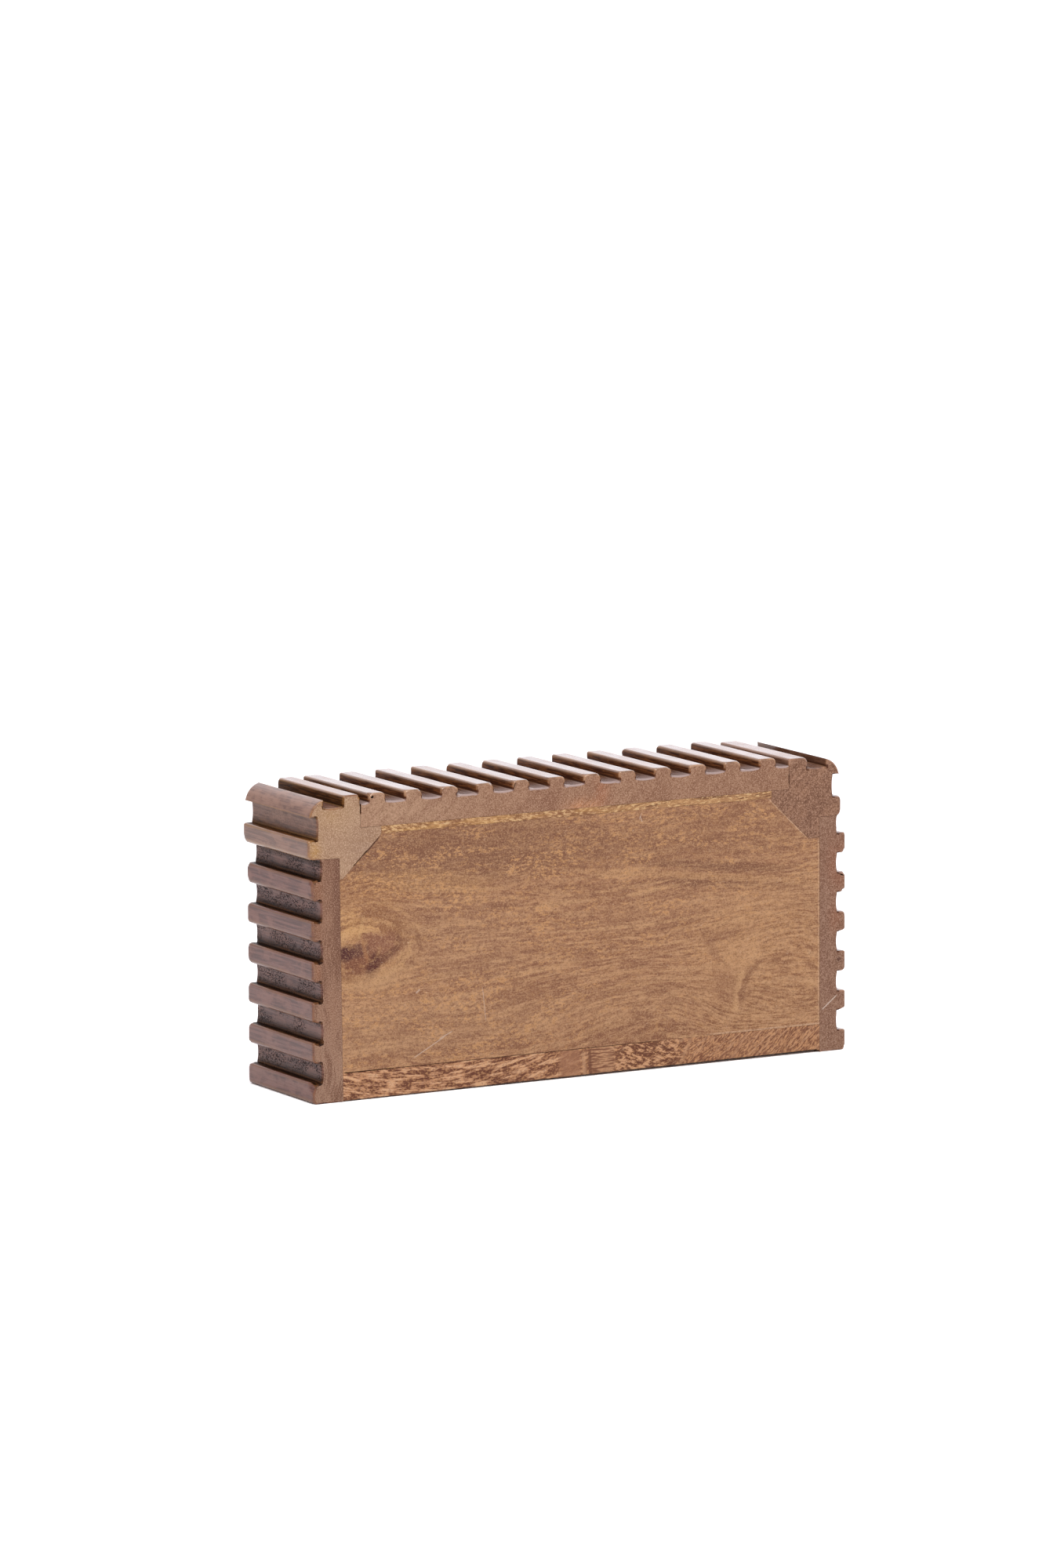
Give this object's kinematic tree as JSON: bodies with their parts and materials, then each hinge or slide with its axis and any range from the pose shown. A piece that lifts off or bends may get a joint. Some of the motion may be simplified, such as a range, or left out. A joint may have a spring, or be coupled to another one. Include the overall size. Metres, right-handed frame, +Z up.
{
  "type": "washboard",
  "caption": "Small hardwood washboard block: a sealed box with deep rounded ribs running front to back across its top and down both ends, and flush plain panels front and back.",
  "frame": {"origin": "under the middle of the box, on the surface that it stands on", "axes": "+X along the box to the right as seen from the front, +Y from the front face to the back face, +Z up through the ribbed top"},
  "size_m": [0.2264, 0.051, 0.1126],
  "materials": {
    "side_wood": "end grain on the faces, clear lacquer on the ribs",
    "top_wood": "end grain on the faces, clear gloss lacquer on the ribs",
    "left_corner_wood": "pale end grain on the faces, clear lacquer on the ribs",
    "right_corner_wood": "dark end grain on the faces, clear lacquer on the ribs",
    "bottom_wood": "coarse end grain, matt",
    "panel_wood": "long grain, matt oil",
    "strip_wood": "pale sapwood, matt",
    "cleat_wood": "planed, unfinished"
  },
  "bodies": {
    "root": {"left_side_board": "side_wood", "right_side_board": "side_wood", "top_board": "top_wood", "bottom_board": "bottom_wood", "left_corner_block": "left_corner_wood", "right_corner_block": "right_corner_wood", "front_panel": "panel_wood", "front_edge_strip": "strip_wood", "back_panel": "panel_wood", "back_edge_strip": "strip_wood", "front_top_cleat": "cleat_wood", "front_bottom_cleat": "cleat_wood", "front_left_cleat": "cleat_wood", "front_right_cleat": "cleat_wood", "back_top_cleat": "cleat_wood", "back_bottom_cleat": "cleat_wood", "back_left_cleat": "cleat_wood", "back_right_cleat": "cleat_wood"}
  },
  "joints": []
}
